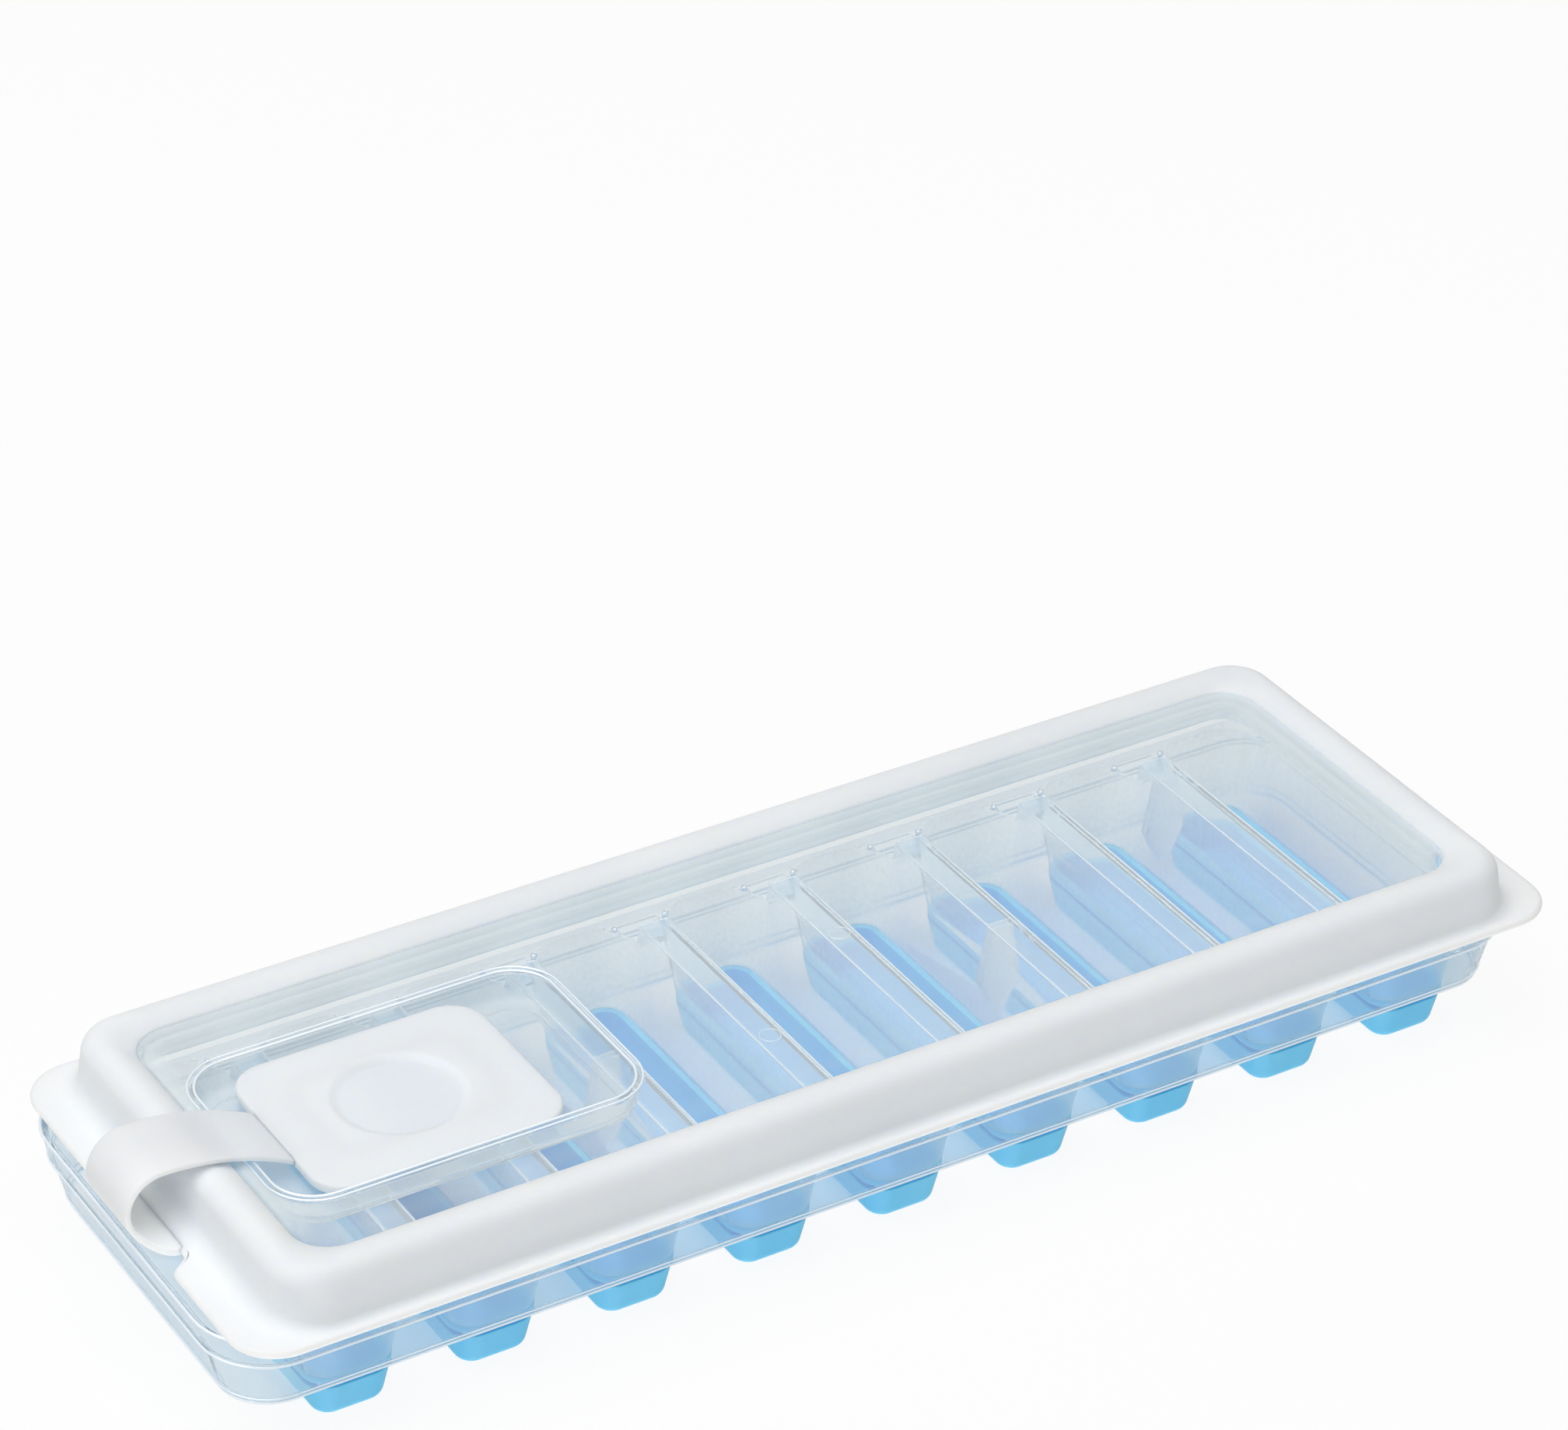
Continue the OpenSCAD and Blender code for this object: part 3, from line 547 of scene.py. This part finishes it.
def piece(name, verts, faces, mat, smooth_angle):
    """A mesh object in millimetres made of points and quads, smooth except at sharp edges, normals outward."""
    mesh = bpy.data.meshes.new(name)
    mesh.from_pydata((np.asarray(verts) * MM).tolist(), [], np.asarray(faces).tolist())
    mesh.validate()
    made = bmesh.new()
    made.from_mesh(mesh)
    bmesh.ops.remove_doubles(made, verts=made.verts, dist=1e-7)
    bmesh.ops.recalc_face_normals(made, faces=made.faces)
    made.to_mesh(mesh)
    made.free()
    mesh.polygons.foreach_set("use_smooth", np.ones(len(mesh.polygons), bool))
    mesh.set_sharp_from_angle(angle=math.radians(smooth_angle))
    obj = bpy.data.objects.new(name, mesh)
    scene.collection.objects.link(obj)
    mesh.materials.append(mat)
    return obj


def loft(name, rings, mat, smooth_angle, close=False):
    """A surface through a list of matching closed rings."""
    rings = np.stack(rings)
    faces = grid_faces(rings.shape[0], rings.shape[1], close)
    return piece(name, rings.reshape(-1, 3), faces, mat, smooth_angle)


def arc(cu, cz, r, start, end, count):
    """Points of an arc in a section, angles in degrees."""
    a = np.radians(np.linspace(start, end, count))
    return np.column_stack([cu + r * np.cos(a), cz + r * np.sin(a)])


def lid_frame_piece():
    """Lid frame: rings carried from the window edge over the crest, down the wall, through a foot fillet that
    widens at the ends, out to the round flange edge with its two scoops, and back up inside the wall."""
    edge_core, edge_out = ring(*WINDOW_CORE)
    wall_core, wall_out = ring(*WALL_CORE)
    flange_core, flange_out = ring(*FLANGE_CORE)
    edge = edge_core + edge_out * WINDOW_CORNER
    crest = wall_core + wall_out * WALL_OUT
    lip, bow = 0.45, 1.75
    rings = [level(edge, WINDOW_Z), level(edge, WINDOW_Z + lip - 0.1)]
    for w in np.linspace(0.03, 1.0, 14):
        rings.append(level(edge + (crest - edge) * w, WINDOW_Z + lip + bow * math.sin(w * math.pi / 2)))
    for u, z in arc(WALL_OUT, CREST_Z - CREST_R, CREST_R, 90, 8, 14)[1:]:
        rings.append(level(wall_core + wall_out * u, z))
    foot = FOOT_R + FOOT_GROWTH * np.abs(wall_out[:, 0]) ** 2
    wall_reach = CREST_R + math.cos(WALL_LEAN) * WALL_OUT + math.sin(WALL_LEAN) * (CREST_Z - CREST_R)
    foot_z = FLANGE_TOP + foot
    foot_u = (wall_reach + foot - math.sin(WALL_LEAN) * foot_z) / math.cos(WALL_LEAN)
    for angle in np.radians(np.linspace(188, 270, 12)):
        rings.append(level(wall_core + wall_out * (foot_u + foot * math.cos(angle))[:, None],
                           foot_z + foot * math.sin(angle)))
    rim = flange_core + flange_out * FLANGE_CORNER
    left = (flange_out[:, 0] < -0.999) & (np.abs(rim[:, 1]) < SCOOP_ZONE)
    t = np.clip((SCOOP_EDGE - np.abs(rim[:, 1])) / SCOOP_EASE, 0, 1)
    rim[:, 0] += np.where(left, SCOOP_DEPTH * t ** 3 * (t * (6 * t - 15) + 10), 0)
    along = np.roll(rim, -1, 0) - np.roll(rim, 1, 0)
    along /= np.linalg.norm(along, axis=1)[:, None]
    side = np.column_stack([along[:, 1], -along[:, 0]])
    nose = (FLANGE_TOP - DECK_Z) / 2
    start = rings[-1][:, :2]
    shelf = rim - side * nose
    for w in (0.25, 0.5, 0.75, 0.92):
        rings.append(level(start + (shelf - start) * w, FLANGE_TOP))
    for angle in np.radians(np.linspace(90, -90, 12)):
        rings.append(level(rim - side * nose * (1 - math.cos(angle)), DECK_Z + nose + nose * math.sin(angle)))
    inner = wall_core + wall_out * (wall_reach - FRAME_WALL - math.sin(WALL_LEAN) * DECK_Z) / math.cos(WALL_LEAN)
    for w in (0.5, 0.97, 1.0):
        rings.append(level(shelf + (inner - shelf) * w, DECK_Z))
    rings.append(level(inner, DECK_Z + 0.1))
    for u, z in arc(WALL_OUT, CREST_Z - CREST_R, CREST_R - FRAME_WALL, 8, 90, 8):
        rings.append(level(wall_core + wall_out * u, z))
    groove, depth, bevel = 3.8, 2.8, 0.2
    for u, z in ((groove + bevel, CREST_Z - FRAME_WALL), (groove, CREST_Z - FRAME_WALL - bevel),
                 (groove, WINDOW_Z - depth + bevel), (groove - bevel, WINDOW_Z - depth),
                 (bevel, WINDOW_Z - depth), (0.0, WINDOW_Z - depth + bevel)):
        rings.append(level(edge_core + edge_out * (WINDOW_CORNER + u), z))
    obj = loft("lid_frame_skin", rings, WHITE, 38.0, close=True)
    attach(obj, "lid")
    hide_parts("lid_frame")


def strap_piece():
    """Strap: a flat rounded section carried from inside the flange, round the loop and down the long curve to the
    plug. Its width eases from the flared root to the plain strap."""
    lead_x, root_x, end_x = -138.6, -141.2, -114.4
    loop_z, loop_r, crest_z, arm_r = 35.625, 7.275, 42.9, 51.28
    root_half, strap_half, root_thick, strap_thick, round_r = 13.2, 8.5, 0.83, 0.6, 0.42
    flare_start, flare_length, lead_steps, round_steps = 2.2, 9.0, 7, 36
    lead_path = np.linspace(lead_x, root_x, lead_steps + 1)[:-1]
    lead = np.column_stack([lead_path, np.full(lead_steps, loop_z - loop_r)])
    loop = arc(root_x, loop_z, loop_r, -90, -270, 56)
    sweep = math.degrees(math.asin((end_x - root_x) / arm_r))
    arm = arc(root_x, crest_z - arm_r, arm_r, 90, 90 - sweep, 50)[1:]
    path = np.concatenate([lead, loop, arm])
    step = np.gradient(path, axis=0)
    step /= np.linalg.norm(step, axis=1)[:, None]
    up = np.column_stack([step[:, 1], -step[:, 0]])
    s = np.concatenate([[0], np.cumsum(np.linalg.norm(np.diff(path, axis=0), axis=1))])
    t = np.clip((s - flare_start) / flare_length, 0, 1)
    ease = t * t * (3 - 2 * t)
    half_w = root_half + (strap_half - root_half) * ease
    half_t = root_thick + (strap_thick - root_thick) * ease
    a = np.linspace(0, 2 * math.pi, round_steps, endpoint=False)
    across = np.sign(np.cos(a))[None, :] * (half_w - round_r)[:, None] + round_r * np.cos(a)[None, :]
    thick = np.sign(np.sin(a))[None, :] * (half_t - round_r)[:, None] + round_r * np.sin(a)[None, :]
    x = path[:, 0][:, None] + up[:, 0][:, None] * thick
    z = path[:, 1][:, None] + up[:, 1][:, None] * thick
    verts = np.stack([x, across, z], -1)
    caps = [np.broadcast_to(end.mean(1, keepdims=True), end.shape) for end in (verts[:1], verts[-1:])]
    verts = np.concatenate([caps[0], verts, caps[1]])
    obj = loft("strap", list(verts), WHITE, 50.0)
    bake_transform(obj)
    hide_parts("strap_root", "strap_arm")


def plug_piece():
    """Plug: spokes from the middle to a rounded outline, lowered by a smooth round dish, then over a round edge and
    back under to the middle; below it a seal ring."""
    centre = np.array((-89.0, 0.0, 0.0))
    top, low, corner, top_r, low_r = 36.8, 34.6, 7.5, 0.55, 0.4
    dish_r, dish_ease, dish_depth = 11.2, 2.3, 1.05
    core, out = ring(18.5, 14.2, long_steps=40, end_steps=34, corner_steps=12)
    flat = core + out * (corner - top_r)
    rings = []
    for w in np.linspace(0, 1, 64):
        spot = flat * w
        t = np.clip((np.hypot(spot[:, 0], spot[:, 1]) - dish_r) / dish_ease, 0, 1)
        rings.append(level(spot, top - dish_depth * (1 - t * t * (3 - 2 * t))))
    for u, z in arc(corner - top_r, top - top_r, top_r, 90, 0, 8)[1:]:
        rings.append(level(core + out * u, z))
    for u, z in arc(corner - low_r, low + low_r, low_r, 0, -90, 5):
        rings.append(level(core + out * u, z))
    for w in (0.6, 0.3, 0.0):
        rings.append(level((core + out * (corner - low_r)) * w, low))
    obj = loft("plug", [r + centre for r in rings], WHITE, 50.0)
    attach(obj, "plug")
    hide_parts("fill_plug")
    core, out = ring(13.0, 8.0, long_steps=24, end_steps=16, corner_steps=10)
    outer, inner, seal_r, drop, lift = 5.5, 4.0, 0.4, 2.9, 0.05
    section = np.concatenate([[[outer, low - lift]],
                              arc(outer - seal_r, low - drop, seal_r, 0, -90, 4),
                              arc(inner + seal_r, low - drop, seal_r, -90, -180, 4),
                              [[inner, low - lift]]])
    rings = [level(core + out * u, z) + centre for u, z in section]
    seal = loft("plug_seal", rings, WHITE, 50.0, close=True)
    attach(seal, "plug")


def beads(name, loops, body, mat):
    """Round lines that carry painted highlights: a small circle carried along each closed loop, all of them one piece.
    A loop is its points and its radius."""
    verts, faces, start = [], [], 0
    turn = np.linspace(0, 2 * math.pi, 8, endpoint=False)
    cos, sin = np.cos(turn)[None, :, None], np.sin(turn)[None, :, None]
    for path, radius in loops:
        along = np.roll(path, -1, 0) - np.roll(path, 1, 0)
        along /= np.linalg.norm(along, axis=1)[:, None]
        side = np.cross(along, (0, 0, 1.0))
        side /= np.linalg.norm(side, axis=1)[:, None]
        up = np.cross(side, along)
        tube = path[:, None] + radius * (cos * side[:, None] + sin * up[:, None])
        verts.append(tube.reshape(-1, 3))
        faces.append(grid_faces(len(path), len(turn), True) + start)
        start += len(path) * len(turn)
    obj = piece(name, np.concatenate(verts), np.concatenate(faces), mat, 60.0)
    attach(obj, body)


def outline(half, corner, z, shift):
    """A rounded rectangle of points at a height, moved along the row by shift."""
    core, out = ring(half[0] - corner, half[1] - corner, long_steps=60, end_steps=40, corner_steps=10)
    return level(core + out * corner, z) + np.array((shift, 0, 0))


def circle(x, y, z, radius, steps=40):
    """A round loop of points at a height."""
    a = np.linspace(0, 2 * math.pi, steps, endpoint=False)
    return np.column_stack([x + radius * np.cos(a), y + radius * np.sin(a), np.full(steps, z)])


def rib_outline(x, y):
    """The six sided outline of a stiffening rib, with points along each side."""
    half = [(2.15, 29.1), (4.55, 16.6), (1.05, 9.0)]
    corners = np.array(half + [(-u, z) for u, z in reversed(half)])
    w = np.linspace(0, 1, 8, endpoint=False)[None, :, None]
    sides = (corners[:, None] * (1 - w) + np.roll(corners, -1, 0)[:, None] * w).reshape(-1, 2)
    return np.column_stack([x + sides[:, 0], np.full(len(sides), y), sides[:, 1]])


# Painted highlight lines along the edges: how far in from the skirt's or out from the pocket's outline, at which
# height, and how thick.
SKIRT_LINES = ((0.0, 27.35, 0.30), (1.145, 21.2, 0.30), (1.745, 20.55, 0.22), (3.95, 11.7, 0.20), (4.6, 10.45, 0.32))
POCKET_LINES = ((0.0, 0.28), (1.3, 0.22))
RIDGE_LINE, RIDGE_CORNER, RIB_LINE = 0.2, 0.5, 0.24
MARKS, MARK_R, MARK_LINE = ((RIDGES[3], -10.7), (RIDGES[4], 12.4)), 2.1, 0.08
# Painted glints: small bright blobs beside each ridge's back and front ends, where they meet the cavities' corners.
GLINT_X, GLINT_Y, GLINT_Z, GLINT_CORE, GLINT_R = 5.7, 39.5, 27.0, 0.06, 0.62


def painted_edge_lines():
    """Painted highlights: pale gleaming tubes along the clear tray's and the window pocket's rounded edges and the
    ribs' outlines, rings where two ridge tops carry a mark, and painted glints as small blobs by the ridges' ends.
    """
    ridge = (RIDGE_HALF, RIDGE_REACH)
    loops = [(outline(ridge, RIDGE_CORNER, RIDGE_TOP - 0.08, x), RIDGE_LINE) for x in RIDGES]
    for inset, z, radius in SKIRT_LINES:
        half = (SKIRT_HALF[0] - inset, SKIRT_HALF[1] - inset)
        loops.append((outline(half, SKIRT_CORNER - inset, z, SKIRT_SHIFT), radius))
    loops += [(circle(x, y, RIDGE_TOP + 0.02, MARK_R), MARK_LINE) for x, y in MARKS]
    loops += [(rib_outline(x, y + face), RIB_LINE) for x, y in RIB_PLACES for face in (-RIB_FACE, RIB_FACE)]
    loops += [(circle(x + dx, y, GLINT_Z, GLINT_CORE), GLINT_R)
              for x in RIDGES for dx in (-GLINT_X, GLINT_X) for y in (-GLINT_Y, GLINT_Y)]
    beads("tray_edge_highlights", loops, "tray", PAINTED_HIGHLIGHT)
    rims = []
    for grown, radius in POCKET_LINES:
        half = (POCKET_HALF[0] + grown, POCKET_HALF[1] + grown)
        rims.append((outline(half, POCKET_CORNER + grown, WINDOW_Z, POCKET_X), radius))
    beads("pocket_edge_highlights", rims, "lid", PAINTED_HIGHLIGHT)


lid_frame_piece()
strap_piece()
plug_piece()
painted_edge_lines()


def floor_sheet():
    """A flat square of floor under the part, pale. Where the camera sees it, it glows and keeps the part's shadow
    faintly; seen through the plastic or mirrored in it, it glows less."""
    half, camera_glow, inner_glow = 4.0, 0.90, 0.25
    mesh = bpy.data.meshes.new("floor")
    mesh.from_pydata([(-half, -half, 0), (half, -half, 0), (half, half, 0), (-half, half, 0)], [], [(0, 1, 2, 3)])
    obj = bpy.data.objects.new("floor", mesh)
    scene.collection.objects.link(obj)
    mat, tree, shader = material("pale_floor")
    shader.inputs["Roughness"].default_value = 0.9
    shader.inputs["Specular IOR Level"].default_value = 0.0
    noise = add(tree, "ShaderNodeTexNoise", inputs={"Scale": 6.0})
    tone = use(tree, TWO_TONE, Low=(0.93, 0.935, 0.94, 1), High=(0.95, 0.95, 0.955, 1))
    tree.links.new(noise.outputs["Fac"], tone.inputs["Mask"])
    tree.links.new(tone.outputs["Color"], shader.inputs["Base Color"])
    path = add(tree, "ShaderNodeLightPath").outputs
    seen = maths(tree, "MAXIMUM", path["Is Transmission Ray"], path["Is Glossy Ray"])
    inner = maths(tree, "MULTIPLY", seen, inner_glow)
    direct = maths(tree, "MULTIPLY", path["Is Camera Ray"], camera_glow)
    glow = add(tree, "ShaderNodeEmission", inputs={"Color": (1, 1, 1, 1), "Strength": 1.0})
    to_surface(tree, mixed(tree, maths(tree, "MAXIMUM", inner, direct), shader.outputs[0], glow.outputs[0]))
    mesh.materials.append(mat)
    obj.visible_diffuse = False
    obj.visible_shadow = False


FILL_ABOVE, FILL_BELOW, FILL_TINT = 0.37, 0.64, (1.0, 0.99, 0.96, 1)


def studio_world():
    """White surroundings: full white where they are seen. Where they light the part they are a plain fill from above
    and a brighter white from below, as off the lit sheet that the part lies on."""
    world = bpy.data.worlds.new("studio")
    scene.world = world
    world.use_nodes = True
    tree = world.node_tree
    tree.nodes.clear()
    out = tree.nodes.new("ShaderNodeOutputWorld")
    back = add(tree, "ShaderNodeBackground")
    path = add(tree, "ShaderNodeLightPath").outputs
    seen = maths(tree, "MAXIMUM", path["Is Camera Ray"], path["Is Glossy Ray"])
    seen = maths(tree, "MAXIMUM", seen, path["Is Transmission Ray"])
    way = split(tree, add(tree, "ShaderNodeTexCoord").outputs["Generated"])
    fill = add(tree, "ShaderNodeMapRange", interpolation_type="SMOOTHSTEP",
               inputs={"From Min": -0.1, "From Max": 0.1, "To Min": FILL_BELOW, "To Max": FILL_ABOVE})
    tree.links.new(way["Z"], fill.inputs["Value"])
    strength = add(tree, "ShaderNodeMapRange", inputs={"To Max": 1.0})
    tree.links.new(seen, strength.inputs["Value"])
    tree.links.new(fill.outputs["Result"], strength.inputs["To Min"])
    tree.links.new(strength.outputs["Result"], back.inputs["Strength"])
    tint = add(tree, "ShaderNodeMix", data_type="RGBA", inputs={MIX_LOW: FILL_TINT, MIX_HIGH: (1, 1, 1, 1)})
    tree.links.new(seen, tint.inputs[MIX_SHARE])
    tree.links.new(tint.outputs[MIX_COLOR], back.inputs["Color"])
    tree.links.new(back.outputs[0], out.inputs[0])


def softbox(name, place, target, size, power):
    """A square area lamp that looks at a point."""
    data = bpy.data.lights.new(name, "AREA")
    data.shape = "SQUARE"
    data.size = size
    data.energy = power
    obj = bpy.data.objects.new(name, data)
    obj.location = place
    obj.rotation_euler = (Vector(target) - Vector(place)).to_track_quat("-Z", "Y").to_euler()
    scene.collection.objects.link(obj)


PHOTO_WIDTH, PHOTO_FOCAL, SENSOR_WIDTH = 2016.0, 7222.77, 36.0
CAMERA_PLACE = Vector((-0.4722, -0.7637, 0.6472))
CAMERA_RIGHT, CAMERA_UP = Vector((0.857, -0.516, 0.010)), Vector((0.264, 0.455, 0.850))
CAMERA_AHEAD = Vector((0.443, 0.726, -0.526))


def photo_camera():
    """The camera of the photograph: its place and its three axes in the part's frame, and its focal length in the
    photograph's pixels."""
    data = bpy.data.cameras.new("camera")
    data.sensor_fit = "HORIZONTAL"
    data.sensor_width = SENSOR_WIDTH
    data.lens = PHOTO_FOCAL * SENSOR_WIDTH / PHOTO_WIDTH
    obj = bpy.data.objects.new("camera", data)
    turn = Matrix((CAMERA_RIGHT, CAMERA_UP, -CAMERA_AHEAD)).transposed().to_quaternion()
    obj.matrix_world = Matrix.Translation(CAMERA_PLACE) @ turn.to_matrix().to_4x4()
    scene.collection.objects.link(obj)
    scene.camera = obj


# Each lamp's place, the point it looks at, its size in metres and its power in watts.
LAMPS = (("top_light", (-0.38, -0.15, 1.46), (0, 0, 0), 1.5, 15.6),
         ("left_light", (-1.2, -0.2, 0.5), (0, 0, 0.02), 0.8, 1.2),
         ("front_light", (-1.0, -0.9, 0.5), (0, 0, 0.02), 1.0, 0.6),
         ("sheet_light", (-0.25, -0.45, -0.87), (0, 0, 0.01), 0.8, 4.6))

floor_sheet()
studio_world()
for lamp in LAMPS:
    softbox(*lamp)
photo_camera()
